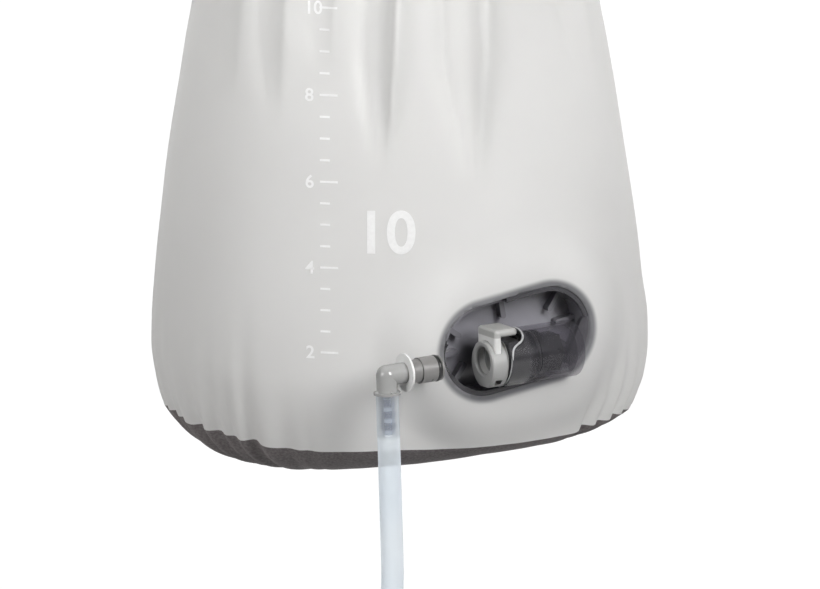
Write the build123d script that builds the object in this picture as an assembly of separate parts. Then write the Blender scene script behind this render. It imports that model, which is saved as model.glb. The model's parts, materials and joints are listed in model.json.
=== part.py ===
"""Hanging roll-top water reservoir with a quick-coupling outlet and a hose.

A full bag of coated fabric hangs from the loop that its rolled mouth, two webbing tabs and a
side-release buckle make. A moulded port is welded into the front of the wall, low down. A coupler
with a thumb latch and a sprung valve sits in the port's barrel. The hose starts at an elbow that
swivels on a plug; the plug slides along the coupler's axis, and is drawn out at rest.

Millimetres. +Z is up, +X is to the right of someone facing the port side, and the bag's front
faces -Y. The origin is the hanging point, under the middle of the buckle. Heights called "level"
are counted from the base's lowest point.
"""

import math
import os

from build123d import *

os.makedirs("parts", exist_ok=True)

# ---- Bag -------------------------------------------------------------------------------------
wall = 1.2  # coated fabric with its welds
seam_level = 16.0  # where the base panel is welded to the wall
# level, half width, half depth and tilt of the bag's outline, from the base up
bag_outline = [
    (3.5, 66.0, 56.0, 4.0),
    (6.0, 88.0, 75.0, 4.0),
    (12.0, 100.5, 86.0, 2.5),
    (20.0, 105.5, 90.0, 1.0),
    (30.0, 108.2, 92.0, 0.5),
    (44.0, 109.4, 93.0, 0.0),
    (62.0, 108.8, 93.0, 0.0),
    (118.0, 103.5, 92.5, 0.0),
    (162.0, 97.5, 91.0, 0.0),
    (206.0, 90.5, 88.0, 0.0),
    (255.0, 84.0, 84.0, 0.0),
    (305.0, 79.0, 74.0, 0.0),
    (350.0, 76.5, 56.0, 0.0),
    (382.0, 75.5, 34.0, 0.0),
    (402.0, 75.0, 19.0, 0.0),
    (418.0, 75.0, 12.0, 0.0),
    (455.0, 75.0, 8.5, 0.0),
]

# ---- Rolled mouth, tabs and buckle -----------------------------------------------------------
ring_radius = 64.0  # of the rolled mouth's middle line
ring_level = 486.0  # of the ring's centre
roll_length = 310.0
roll_width = 26.0
roll_thickness = 12.0
strip_width = 20.0
strip_thickness = 1.4
webbing_width = 20.0
webbing_thickness = 1.5
tab_reach = 24.0  # how far a tab laps onto the roll, degrees
gap = 0.3  # between pieces that only lie together

buckle_length = 60.0
buckle_width = 30.0
buckle_thickness = 9.0
buckle_rise = 61.0  # of the buckle's middle above the ring's centre
buckle_wall = 2.0
bar_radius = 1.9
bar_inset = 4.0  # from the buckle's end to the middle of its bar
slot_length = 7.5
socket_share = 0.6  # of the length that the socket half takes
prong_offset = 8.0
prong_width = 2.6
prong_thickness = 4.2
button_length = 11.0
button_start = 14.5  # from the prong's root to its button

hang_level = ring_level + buckle_rise - buckle_thickness / 2

# ---- Port ------------------------------------------------------------------------------------
port_side = 49.4  # of the port's centre from the bag's middle
port_front = 82.0
port_level = 59.5
port_turn = 24.0  # its face is turned this far to the right, degrees
port_tilt = 11.0  # its long axis rises to the right, degrees
port_run = 30.0  # between the centres of its round ends
port_radius = 18.8  # outside of the tray's wall
port_wall = 1.5
port_depth = 14.0
flange_width = 3.5
flange_thickness = 1.6
rib_length = 8.0
rib_width = 2.2
rib_setback = 9.5  # the ribs stop this far behind the face

# ---- Coupler, in its own frame: +z out of the mouth, +y towards the latch ----------------------
mouth_side = -18.9  # of the mouth's centre from the port's centre, in the port's face
mouth_drop = 5.9
mouth_stand = 6.0
coupler_dip = 2.0  # below the horizontal, degrees
coupler_lift = 5.0  # out of the port's face, degrees
collar_half_width = 9.4
collar_half_height = 10.0
collar_drop = 1.75
collar_flat = 10.9  # from the axis down to the flat under the collar
collar_length = 7.0
sleeve_length = 14.2  # from the mouth to the end of the collar's tube
nose_ring = 1.8
bore_radius = 5.95
land_radius = 5.75
bore_depth = 10.6
land_depth = 15.0
mouth_chamfer = 0.6
seat_radius = 4.2
seat_thickness = 2.0
chamber_radius = 6.6
body_radius = 9.8
body_length = 26.0
seal_back = 22.5
tail_flats = 15.0
tail_length = 9.0
tail_bore = 3.6
barrel_radius = 12.0
barrel_clearance = 0.3
barrel_length = 43.0
barrel_end = 2.6
outlet_radius = 3.6
web_thickness = 3.0

latch_travel = 2.0
latch_thickness = 2.7
latch_half_width = 7.6
latch_hole = 6.25
latch_hole_lift = 0.2
latch_clearance = 0.2
latch_top = 13.7
tab_thickness = 3.4
tab_length = 11.0
latch_spring_radius = 1.1
latch_spring_wire = 0.4

valve_travel = 4.0
valve_nose_radius = 3.6
valve_nose_front = 11.0
valve_head_radius = 5.4
valve_head_thickness = 1.8
valve_seal_wire = 0.6
valve_spring_wire = 0.6

# ---- Plug and elbow, drawn as they sit in the coupler ------------------------------------------
plug_travel = 35.8
plug_radius = 5.45
plug_neck = 4.85
plug_tip = 14.8
plug_bore = 2.8
ring_wire = 0.95
flange_radius = 8.0
flange_front = 0.5
flange_plate = 1.0
elbow_back = 9.7  # from the mouth to the elbow's corner
elbow_radius = 4.4
elbow_collar_radius = 5.6
elbow_collar_drop = 7.0
elbow_collar_thickness = 1.0
barb_radius = 3.5
barb_stem = 2.6
barb_length = 16.6
barb_count = 3
swivel_gap = 0.15

# ---- Hose ------------------------------------------------------------------------------------
hose_radius = 4.75
hose_bore = 3.2
hose_first_run = 37.0  # straight, in line with the elbow's stem
hose_steps = [(1.8, 0.6, -65.6), (-16.4, 0.0, -30.3), (-23.4, 0.0, -23.4)]  # runs after that
hose_end_swell = 0.5  # the hose's end stretches over the barbs
coil_radius = 57.0
coil_pitch = 9.8
tail_run = 54.0
tie_start = 139.0
tie_span = 17.0
tie_thickness = 1.6


def at_level(shape, level):
    return Pos(0, 0, level - hang_level) * shape


def rod(radius, low, high):
    return Pos(0, 0, (low + high) / 2) * Cylinder(radius, high - low)


def pipe(radius, bore, low, high):
    return rod(radius, low, high) - rod(bore, low - 1, high + 1)


def block(x_low, x_high, y_low, y_high, z_low, z_high):
    middle = ((x_low + x_high) / 2, (y_low + y_high) / 2, (z_low + z_high) / 2)
    return Pos(*middle) * Box(x_high - x_low, y_high - y_low, z_high - z_low)


def stadium(run, radius, low, high):
    return Pos(0, 0, low) * extrude(SlotCenterToCenter(run, 2 * radius), high - low)


def one_solid(shape):
    """The largest solid of a shape, without slivers that a cut left."""
    return max(shape.solids(), key=lambda solid: solid.volume)


# ---- Frames ----------------------------------------------------------------------------------
turn = math.radians(port_turn)
face_right = Vector(math.cos(turn), math.sin(turn), 0)
face_out = Vector(math.sin(turn), -math.cos(turn), 0)
port_centre = Vector(port_side, -port_front, port_level - hang_level)
port_frame = Plane(port_centre, x_dir=face_right, z_dir=face_out).location

dip = math.radians(coupler_dip)
lift = math.radians(coupler_lift)
mouth_out = (
    face_right * (-math.cos(lift) * math.cos(dip))
    + Vector(0, 0, -math.cos(lift) * math.sin(dip))
    + face_out * math.sin(lift)
)
mouth = (
    port_centre + face_right * mouth_side + Vector(0, 0, -mouth_drop) + face_out * mouth_stand
)
latch_up = (Vector(0, 0, 1) - mouth_out * mouth_out.Z).normalized()
coupler_side = latch_up.cross(mouth_out)
coupler_frame = Plane(mouth, x_dir=coupler_side, z_dir=mouth_out).location
plug_frame = coupler_frame * Pos(0, 0, plug_travel)


# ---- Bag -------------------------------------------------------------------------------------
def inward(i):
    """How far the outline's inside lies inwards and upwards of section i, for a wall of 1."""
    last = len(bag_outline) - 1
    if i == 0:
        return 0, 1
    if i == last:
        return 1, -1
    below, above = bag_outline[i - 1], bag_outline[i + 1]
    out, up = (above[1] - below[1]), (above[0] - below[0])
    length = math.hypot(out, up)
    return up / length, out / length


def bag_solid(inset):
    """The bag's closed outer shape, drawn in by inset all round."""
    sections = []
    for i, (level, half_width, half_depth, tilt) in enumerate(bag_outline):
        draw_in, rise = [inset * share for share in inward(i)]
        place = Pos(0, 0, level + rise - hang_level) * Rot(0, -tilt, 0)
        sections.append(place * Ellipse(half_width - draw_in, half_depth - draw_in))
    return loft(sections)


def seam_cut():
    """A big block whose top is the plane of the base seam."""
    return at_level(Pos(0, 0, -150) * Box(400, 400, 300), seam_level)


def make_bag():
    shell = bag_solid(0) - bag_solid(wall)
    roll_seat = rod(ring_radius + roll_thickness / 2 + gap, -100, 100)
    shell -= at_level(Rot(90, 0, 0) * roll_seat, ring_level)
    opening = stadium(port_run, port_radius + flange_width + gap, -30, 40)
    shell -= port_frame * Rot(0, 0, port_tilt) * opening
    below = seam_cut()
    return one_solid(shell - below), one_solid(shell & below)


# ---- Rolled mouth and its tabs -----------------------------------------------------------------
roll_angle = math.degrees(roll_length / ring_radius)
roll_end = (360 - roll_angle) / 2  # from straight up to each end of the roll


def ring_point(radius, angle):
    """A point of the ring's plane, by its angle from straight up, towards +X."""
    around = math.radians(angle)
    return Vector(radius * math.sin(around), 0, radius * math.cos(around))


def ring_sweep(section, start, sweep):
    """A section drawn at the top of the ring, turned about its axis from start by sweep."""
    turned = revolve(Rot(0, start, 0) * section, Axis((0, 0, 0), (0, 1, 0)), sweep)
    return at_level(turned, ring_level)


def ring_section(width, thickness, corner):
    face = Plane.YZ * RectangleRounded(width, thickness, corner)
    return Pos(0, 0, ring_radius) * face


def make_roll():
    outer = ring_section(roll_width, roll_thickness, 4.5)
    core = ring_section(strip_width, strip_thickness, 0.5)
    return ring_sweep(outer - core, roll_end, roll_angle)


def make_strip():
    core = ring_section(strip_width, strip_thickness, 0.5)
    inset = 2.0
    return ring_sweep(core, roll_end + inset, roll_angle - 2 * inset)


def make_tab(side):
    """Webbing that laps both faces of the roll's end and goes round the buckle's bar."""
    outer = ring_radius + roll_thickness / 2 + gap
    inner = ring_radius - roll_thickness / 2 - gap
    first = roll_end + tab_reach
    bar = Vector(buckle_length / 2 - bar_inset, 0, buckle_rise)
    round_bar = bar_radius + gap
    over, end_out = ring_point(outer, first), ring_point(outer, roll_end)
    under, end_in = ring_point(inner, first), ring_point(inner, roll_end)
    top = bar + Vector(0.5, 0, 1).normalized() * round_bar
    low = bar + Vector(0.5, 0, -1).normalized() * round_bar
    near = bar + Vector(-round_bar, 0, 0)
    line = Wire(
        [
            ThreePointArc(over, ring_point(outer, (first + roll_end) / 2), end_out),
            Line(end_out, top),
            ThreePointArc(top, near, low),
            Line(low, end_in),
            ThreePointArc(end_in, ring_point(inner, (first + roll_end) / 2), under),
            Line(under, over),
        ]
    )
    held = make_face(line)
    band = offset(held, amount=webbing_thickness, kind=Kind.ARC) - held
    solid = extrude(band, amount=webbing_width / 2, both=True)
    mouth_block = Pos(0, 0, 0) * Rot(0, first, 0) * block(0, 60, -40, 40, 20, 120)
    solid = one_solid(solid - mouth_block)
    if side < 0:
        solid = mirror(solid, Plane.YZ)
    return at_level(solid, ring_level)


# ---- Buckle, in its own frame: x along it, socket to the left ------------------------------------
socket_end = -buckle_length / 2 + socket_share * buckle_length
prong_root = socket_end - 0.2
button_near = prong_root - button_start
button_far = button_near - button_length


def buckle_slot(x_bar, outward):
    """The two gaps that the webbing passes, one on each side of the bar."""
    width = webbing_width + 1.4
    inner = block(0, slot_length, -width / 2, width / 2, -20, 20)
    near = Pos(x_bar - outward * (bar_radius + slot_length / 2) - slot_length / 2, 0, 0) * inner
    return near


def buckle_bar(x_bar):
    return Pos(x_bar, 0, 0) * Rot(90, 0, 0) * Cylinder(bar_radius, webbing_width + 3)


def make_socket():
    low, high = -buckle_length / 2, socket_end
    half = buckle_width / 2
    body = block(low, high, -half, half, -buckle_thickness / 2, buckle_thickness / 2)
    body = fillet(body.edges().filter_by(Axis.Z), 3.0)
    body = fillet(body.edges().group_by(Axis.Z)[-1] + body.edges().group_by(Axis.Z)[0], 1.2)
    bar_at = low + bar_inset
    cavity_low = bar_at + bar_radius + slot_length + 1.5
    cavity_half = prong_thickness / 2 + gap
    body -= block(
        cavity_low, high + 1, -half + buckle_wall, half - buckle_wall, -cavity_half, cavity_half
    )
    window_low, window_high = button_far - 1.2, button_near + gap
    body -= block(window_low, window_high, -half - 1, half + 1, -cavity_half, cavity_half)
    body -= buckle_slot(bar_at, -1)
    half_slot = webbing_width / 2 + 0.7
    body -= block(low - 1, bar_at + bar_radius + 0.1, -half_slot, half_slot, -20, 20)
    return one_solid(body + buckle_bar(bar_at))


def make_buckle_plug():
    low, high = socket_end + gap, buckle_length / 2
    half = buckle_width / 2
    body = block(low, high, -half, half, -buckle_thickness / 2, buckle_thickness / 2)
    body = fillet(body.edges().filter_by(Axis.Z), 3.0)
    body = fillet(body.edges().group_by(Axis.Z)[-1] + body.edges().group_by(Axis.Z)[0], 1.2)
    bar_at = high - bar_inset
    body -= buckle_slot(bar_at, 1)
    half_slot = webbing_width / 2 + 0.7
    body -= block(bar_at - bar_radius - 0.1, high + 1, -half_slot, half_slot, -20, 20)
    guide = block(button_near, low + 1, -1.4, 1.4, -prong_thickness / 2, prong_thickness / 2)
    for side in (-1, 1):
        y = side * prong_offset
        pocket = prong_width / 2 + gap
        body -= block(low - 1, low + 2.4, y - pocket, y + pocket, -2.6, 2.6)
    return one_solid(body + buckle_bar(bar_at) + guide)


def make_prong(side):
    """One sprung arm with its side button; its root stands in a pocket of the plug half."""
    half = prong_thickness / 2
    root = socket_end + gap + 1.4
    arm_low, arm_high = prong_offset - prong_width / 2, prong_offset + prong_width / 2
    tip_y = buckle_width / 2 - 0.5
    outline = Polyline(
        (root, arm_low),
        (button_far + 2.0, arm_low),
        (button_far, arm_high),
        (button_far + 3.0, tip_y),
        (button_near - 2.0, tip_y + 0.0),
        (button_near, tip_y - 1.6),
        (button_near, arm_high),
        (root, arm_high),
        close=True,
    )
    arm = extrude(make_face(outline), amount=half, both=True)
    return mirror(arm, Plane.XZ) if side < 0 else arm


def place_buckle(shape):
    return at_level(shape, ring_level + buckle_rise)


# ---- Port ------------------------------------------------------------------------------------
def port_ribs():
    """Short ribs that stand on the tray's floor, square to its wall."""
    inside = port_radius - port_wall
    half = rib_width / 2
    rib = block(-half, half, inside - rib_length, inside + 0.5, -port_depth, -rib_setback)
    tip = Pos(0, inside - rib_length, 0) * rod(rib_width / 2, -port_depth, -rib_setback)
    rib += tip
    places = [(0, 0), (0, 180)]
    places += [(port_run / 2, angle) for angle in (-45, -90, -135)]
    places += [(-port_run / 2, angle) for angle in (45, 90, 135)]
    return [Pos(x, 0, 0) * Rot(0, 0, angle) * rib for x, angle in places]


def make_port():
    tray = stadium(port_run, port_radius, -port_depth - port_wall, 0)
    tray += stadium(port_run, port_radius + flange_width, -flange_thickness, 0)
    tray -= stadium(port_run, port_radius - port_wall, -port_depth, 10)
    for rib in port_ribs():
        tray += rib
    tray = Rot(0, 0, port_tilt) * tray
    tray = port_frame * tray

    barrel = rod(barrel_radius, -barrel_length, -collar_length - 0.6)
    web = block(
        -barrel_radius - 20, 0, -web_thickness / 2, web_thickness / 2, -barrel_length, -collar_length - 6
    )
    inside_tray = stadium(port_run, port_radius, -port_depth - port_wall, 40)
    inside_tray = port_frame * Rot(0, 0, port_tilt) * inside_tray
    barrel = coupler_frame * barrel
    web = (coupler_frame * web_turn() * web) & inside_tray
    shape = tray + barrel + web

    room = body_radius + barrel_clearance
    shape -= coupler_frame * rod(room, -barrel_length + barrel_end, 20)
    notch = block(
        -latch_half_width - 1.2,
        latch_half_width + 1.2,
        collar_half_height - collar_drop - 1.0,
        40,
        -nose_ring - tab_length - 2.6,
        20,
    )
    shape -= coupler_frame * notch
    drain = Pos(0, 0, -barrel_length + barrel_end + outlet_radius + 1) * Rot(0, 90, 0)
    shape -= coupler_frame * web_turn() * drain * rod(outlet_radius, -60, 0)
    return one_solid(shape)


def web_turn():
    """Turns the coupler's -x axis to point straight into the bag."""
    inward = face_out * -1
    across = inward - mouth_out * inward.dot(mouth_out)
    angle = math.degrees(math.atan2(across.dot(latch_up), across.dot(coupler_side)))
    return Rot(0, 0, angle + 180)


# ---- Coupler ---------------------------------------------------------------------------------
def collar_shape(low, high):
    oval = Ellipse(collar_half_width, collar_half_height)
    return Pos(0, -collar_drop, low) * extrude(oval, high - low)


slot_bottom = -collar_half_height + 0.3
plate_bottom = slot_bottom + latch_travel + latch_clearance
spring_pocket = slot_bottom - 1.4


def make_collar():
    """The coupler's front: a ring with the latch's slot and a tube, and the bore through both."""
    collar = collar_shape(-collar_length, 0)
    collar = chamfer(collar.edges().group_by(Axis.Z)[-1], 0.5)
    collar -= block(-20, 20, -collar_half_height - collar_drop - 1, -collar_flat, -20, 1)
    collar += rod(body_radius, -sleeve_length, -collar_length)
    slot_depth = latch_thickness + 2 * latch_clearance
    slot_half = latch_half_width + latch_clearance
    collar -= block(-slot_half, slot_half, slot_bottom, 40, -nose_ring - slot_depth, -nose_ring)
    tab_under = collar_half_height - collar_drop
    collar -= block(-20, 20, tab_under - 0.1, 40, -sleeve_length, -nose_ring)
    collar -= rod(bore_radius, -bore_depth, 1)
    collar -= rod(land_radius, -sleeve_length - 1, 0)
    collar -= Pos(0, 0, -mouth_chamfer) * Cone(
        bore_radius, bore_radius + 2 * mouth_chamfer, 2 * mouth_chamfer,
        align=(Align.CENTER, Align.CENTER, Align.MIN),
    )
    pocket = Rot(90, 0, 0) * rod(latch_spring_radius + 0.4, -slot_bottom - 1, -spring_pocket)
    collar -= Pos(0, 0, -nose_ring - slot_depth / 2) * pocket
    return coupler_frame * one_solid(collar)


def make_coupler_body():
    """The tube behind the collar, with the end of the plug's land, the valve's seat and chamber."""
    body = rod(body_radius, -body_length, -sleeve_length)
    body -= rod(land_radius, -land_depth, 0)
    body -= rod(seat_radius, -land_depth - seat_thickness, 0)
    body -= rod(chamber_radius, -body_length - 1, -land_depth - seat_thickness)
    body -= pipe(body_radius + 2, body_radius - 1.3, -seal_back - 1, -seal_back + 1)
    return coupler_frame * one_solid(body)


def make_coupler_tail():
    """Hexagonal tail that closes the valve chamber and carries the spring's seat."""
    low = -body_length - tail_length
    nut = extrude(RegularPolygon(tail_flats / 2, 6, major_radius=False), tail_length)
    nut = Pos(0, 0, low) * nut
    nut += rod(chamber_radius - 0.05, -body_length, -body_length + 1.5)
    nut -= rod(tail_bore, low - 1, -body_length + 3)
    return coupler_frame * one_solid(nut)


def o_ring(middle_radius, wire):
    return Torus(middle_radius, wire)


def make_body_seal():
    middle = body_radius - 1.3 + 0.75
    return coupler_frame * Pos(0, 0, -seal_back) * o_ring(middle, 0.72)


def make_latch():
    front, back = -nose_ring - latch_clearance, -nose_ring - latch_clearance - latch_thickness
    plate_top = latch_top - 1.0
    plate = block(-latch_half_width, latch_half_width, plate_bottom, plate_top, back, front)
    tab = block(
        -latch_half_width, latch_half_width, latch_top - tab_thickness, latch_top,
        front - tab_length, front,
    )
    tab = fillet(tab.edges().filter_by(Axis.X).group_by(Axis.Z)[0], tab_thickness / 2 - 0.1)
    latch = plate + tab
    latch = fillet(latch.edges().filter_by(Axis.X).group_by(Axis.Z)[-1].group_by(Axis.Y)[-1], 1.2)
    latch = fillet(latch.edges().filter_by(Axis.Z).group_by(Axis.Y)[-1], 1.6)
    hole = SlotCenterToCenter(latch_travel, 2 * latch_hole, rotation=90)
    hole = Pos(0, latch_hole_lift + latch_travel / 2, back - 1) * extrude(hole, latch_thickness + 2)
    return coupler_frame * one_solid(latch - hole)


def coil_spring(radius, wire, length, turns):
    """A plain coil spring from z = 0 up."""
    rise = length - wire
    line = Helix(pitch=rise / turns, height=rise, radius=radius)
    start = Plane(line @ 0, z_dir=line % 0)
    return Pos(0, 0, wire / 2) * sweep(start * Circle(wire / 2), line, is_frenet=True)


def make_latch_spring():
    length = plate_bottom - spring_pocket - 0.1
    spring = coil_spring(latch_spring_radius, latch_spring_wire, length, 4)
    middle = -nose_ring - latch_clearance - latch_thickness / 2
    return coupler_frame * Pos(0, spring_pocket + 0.05, middle) * Rot(-90, 0, 0) * spring


def make_valve():
    seat_back = -land_depth - seat_thickness
    head_front = seat_back - 2 * valve_seal_wire
    head = rod(valve_head_radius, head_front - valve_head_thickness, head_front)
    nose = Pos(0, 0, 0) * block(
        -valve_nose_radius, valve_nose_radius, -0.8, 0.8, head_front, -valve_nose_front
    )
    nose += Rot(0, 0, 90) * nose
    nose &= rod(valve_nose_radius, head_front, -valve_nose_front)
    cap = rod(valve_nose_radius, -valve_nose_front - 1.0, -valve_nose_front)
    valve = coupler_frame * one_solid(head + nose + cap)
    seal = coupler_frame * Pos(0, 0, seat_back - valve_seal_wire) * o_ring(
        seat_radius + 0.6, valve_seal_wire - 0.02
    )
    return valve, seal


def make_valve_spring():
    head_back = -land_depth - seat_thickness - 2 * valve_seal_wire - valve_head_thickness
    seat = -body_length + 1.5
    spring = coil_spring(4.4, valve_spring_wire, head_back - seat - 0.1, 3)
    return coupler_frame * Pos(0, 0, seat + 0.05) * spring


# ---- Plug and elbow ----------------------------------------------------------------------------
def plug_nose(bore):
    """The part of a plug that enters a coupler, with its latch neck and ring groove."""
    groove_high = -plug_tip + 0.8 + 2 * ring_wire
    nose = rod(plug_neck, -6, flange_front)
    nose += rod(plug_radius, groove_high, -5.0)
    nose += rod(plug_radius - 1.7, -plug_tip + 0.4, groove_high)
    nose += rod(plug_radius - 0.1, -plug_tip, -plug_tip + 0.8)
    return nose - rod(bore, -plug_tip - 1, flange_front + 1)


def plug_ring():
    return Pos(0, 0, -plug_tip + 0.8 + ring_wire) * o_ring(
        plug_radius + 0.2 - ring_wire, ring_wire - 0.03
    )


def plug_flange(hole):
    low, high = flange_front, flange_front + flange_plate
    disc = pipe(flange_radius, hole, low, high)
    return fillet(disc.edges().group_by(Axis.Z)[0].sort_by(SortBy.LENGTH)[-1], 0.4)


def make_plug():
    spigot = 2.9
    back = elbow_back - elbow_radius - 1.0
    insert = plug_nose(plug_bore) + pipe(spigot + 0.5, plug_bore, flange_front - 1, back)
    return (
        plug_frame * one_solid(insert),
        plug_frame * plug_ring(),
        plug_frame * plug_flange(spigot + 0.5 + 0.02),
    )


def barbed_stem(length, count):
    """A barbed stem along -y, from y = 0, with its bore."""
    stem = Rot(90, 0, 0) * rod(barb_stem, 0, length)
    step = (length - 2.0) / count
    for i in range(count):
        cone = Cone(barb_stem, barb_radius, step * 0.8, align=(Align.CENTER, Align.CENTER, Align.MIN))
        stem += Pos(0, -2.0 - (i + 1) * step + 0.2, 0) * Rot(-90, 0, 0) * cone
    return stem


def make_elbow():
    """Elbow that turns on the plug's spigot and sends the hose down."""
    front = flange_front + flange_plate + swivel_gap
    body = rod(elbow_radius, front, elbow_back) + Pos(0, 0, elbow_back) * Sphere(elbow_radius)
    drop = elbow_collar_drop + elbow_collar_thickness
    body += Pos(0, 0, elbow_back) * Rot(90, 0, 0) * rod(elbow_radius, 0, drop)
    gusset = make_face(Polyline((0, 0), (-elbow_collar_radius, 0), (0, 4.0), close=True))
    for angle in (0, 90, 180, 270):
        fin = extrude(gusset, amount=0.6, both=True)
        fin = Pos(0, -elbow_collar_drop, elbow_back) * Rot(0, angle, 0) * fin
        body += fin
    collar = Rot(90, 0, 0) * rod(elbow_collar_radius, elbow_collar_drop, drop)
    body += Pos(0, 0, elbow_back) * collar
    body += Pos(0, -drop, elbow_back) * barbed_stem(barb_length, barb_count)
    body -= rod(3.4 + swivel_gap, front - 1, elbow_back - elbow_radius)
    body -= rod(barb_stem - 1.0, 0, elbow_back)
    channel = rod(barb_stem - 1.0, 0, drop + barb_length + 1)
    body -= Pos(0, 0, elbow_back) * Rot(90, 0, 0) * channel
    return plug_frame * one_solid(body)


# ---- Hose ------------------------------------------------------------------------------------
elbow_foot = elbow_collar_drop + elbow_collar_thickness
hose_start = (plug_frame * Pos(0, -elbow_foot, elbow_back)).position
lead_points = [hose_start, hose_start - latch_up * hose_first_run]
for step in hose_steps:
    lead_points.append(lead_points[-1] + Vector(*step))


def corner_radii(points):
    """The largest arc that the two runs at each corner allow."""
    radii = []
    for before, at, after in zip(points, points[1:], points[2:]):
        first, second = at - before, after - at
        half_turn = math.radians(first.get_angle(second)) / 2
        radii.append(0.45 * min(first.length, second.length) / math.tan(half_turn))
    return radii


def hose_tube(points):
    path = Line(*points) if len(points) == 2 else FilletPolyline(*points, radius=corner_radii(points))
    start = Plane(path @ 0, z_dir=path % 0)
    tube = sweep(start * Circle(hose_radius), path) - sweep(start * Circle(hose_bore), path)
    return tube, path


def swollen_end(tube, frame):
    """Stretches the hose over a barbed stem; the frame's +z runs along the stem into the hose."""
    outer = rod(hose_radius + hose_end_swell, 0, barb_length + 1.0)
    outer = chamfer(outer.edges().group_by(Axis.Z)[-1], hose_end_swell - 0.05)
    widened = tube + frame * outer
    return widened - frame * rod(barb_radius + 0.1, -1, barb_length + 0.6)


join = lead_points[-1]
coil_centre = join + Vector(1, 0, -1).normalized() * coil_radius
coil_depth = 2.125 * coil_pitch + 2 * hose_radius


def coil_section(width, thickness):
    face = Plane.YZ * RectangleRounded(width, thickness, min(width, thickness) / 2 - 0.1)
    return Pos(0, (coil_depth / 2 - hose_radius), coil_radius) * face


def around_coil(section, start, sweep_angle):
    """start is counted from straight up towards -X, as seen from the front."""
    turned = revolve(Rot(0, -start, 0) * section, Axis((0, 0, 0), (0, -1, 0)), sweep_angle)
    return Pos(*coil_centre) * turned


def make_coil():
    return around_coil(coil_section(coil_depth, 2 * hose_radius + 1.0), 0, 360)


def make_tie():
    inner = coil_section(coil_depth + 0.2, 2 * hose_radius + 1.2)
    outer = coil_section(
        coil_depth + 0.2 + 2 * tie_thickness, 2 * hose_radius + 1.2 + 2 * tie_thickness
    )
    return around_coil(outer - inner, tie_start - 90, tie_span)


tail_start = coil_centre + Vector(-coil_radius, 2.125 * coil_pitch, 0)
tail_end = tail_start + Vector(0, 0, -tail_run)
end_frame = Pos(*tail_end) * Rot(180, 0, 0)  # +z points down, out of the hose


def make_end_plug():
    """Straight plug on the hose's far end: barbs up into the hose, nose down."""
    stem_up = Rot(90, 0, 0) * barbed_stem(barb_length, barb_count)
    collar = rod(elbow_collar_radius, 0, 1.2)
    grip = rod(elbow_radius + 0.4, 1.2, 5.0)
    flange = 6.0
    body = mirror(stem_up, Plane.XY) if stem_up.center().Z > 0 else stem_up
    body += collar + grip + rod(flange_radius, 5.0, flange)
    nose = Pos(0, 0, flange + flange_front) * Rot(180, 0, 0) * plug_nose(0.5)
    body += nose
    body -= rod(barb_stem - 1.0, -40, 60)
    ring = Pos(0, 0, flange + flange_front) * Rot(180, 0, 0) * plug_ring()
    return end_frame * one_solid(body), end_frame * ring


# ---- Export ----------------------------------------------------------------------------------
def main():
    bag_body, base_panel = make_bag()
    valve, valve_seal = make_valve()
    plug, plug_seal, plug_disc = make_plug()
    coil = make_coil()
    lead, lead_path = hose_tube(lead_points)
    section = math.pi * (hose_radius**2 - hose_bore**2)
    print("lead volume as a share of section by length", lead.volume / section / lead_path.length)
    lead = swollen_end(lead, plug_frame * Pos(0, -elbow_foot, elbow_back) * Rot(90, 0, 0))
    tail, tail_path = hose_tube([tail_start, tail_end])
    tail = swollen_end(tail, end_frame * Rot(180, 0, 0))
    end_plug, end_seal = make_end_plug()
    nodes = {
        "bag_body": bag_body,
        "base_panel": base_panel,
        "rolled_mouth": make_roll(),
        "stiffener_strip": make_strip(),
        "webbing_tab_left": make_tab(-1),
        "webbing_tab_right": make_tab(1),
        "buckle_socket": place_buckle(make_socket()),
        "buckle_plug": place_buckle(make_buckle_plug()),
        "buckle_prong_front": place_buckle(make_prong(-1)),
        "buckle_prong_back": place_buckle(make_prong(1)),
        "port_housing": make_port(),
        "coupler_collar": make_collar(),
        "coupler_body": make_coupler_body(),
        "coupler_tail": make_coupler_tail(),
        "coupler_seal": make_body_seal(),
        "thumb_latch": make_latch(),
        "latch_spring": make_latch_spring(),
        "valve_poppet": valve,
        "valve_seal": valve_seal,
        "valve_spring": make_valve_spring(),
        "plug_insert": plug,
        "plug_o_ring": plug_seal,
        "plug_flange": plug_disc,
        "elbow": make_elbow(),
        "hose_lead": one_solid(lead - coil),
        "hose_coil": coil,
        "hose_tail": one_solid(tail - coil),
        "coil_tie": make_tie(),
        "hose_end_plug": end_plug,
        "hose_end_o_ring": end_seal,
    }
    for name, shape in nodes.items():
        export_step(shape, f"parts/{name}.step")

    print("corner radii", [round(r, 1) for r in corner_radii(lead_points)])
    print("lead length", round(lead_path.length, 1))
    print("hose length", round(lead_path.length + 2.125 * 2 * math.pi * coil_radius + tail_run, 1))
    print("bag capacity in litres", round(bag_solid(wall).volume / 1e6, 2))
    print("hang level", hang_level, "mouth", mouth, "out", mouth_out, "latch up", latch_up)
    print("hose start", hose_start, "coil centre", coil_centre, "tail end", tail_end)


main()
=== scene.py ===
import json
import math

import bmesh
import bpy
import numpy as np
from mathutils import Matrix, Vector
from mathutils.bvhtree import BVHTree


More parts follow.
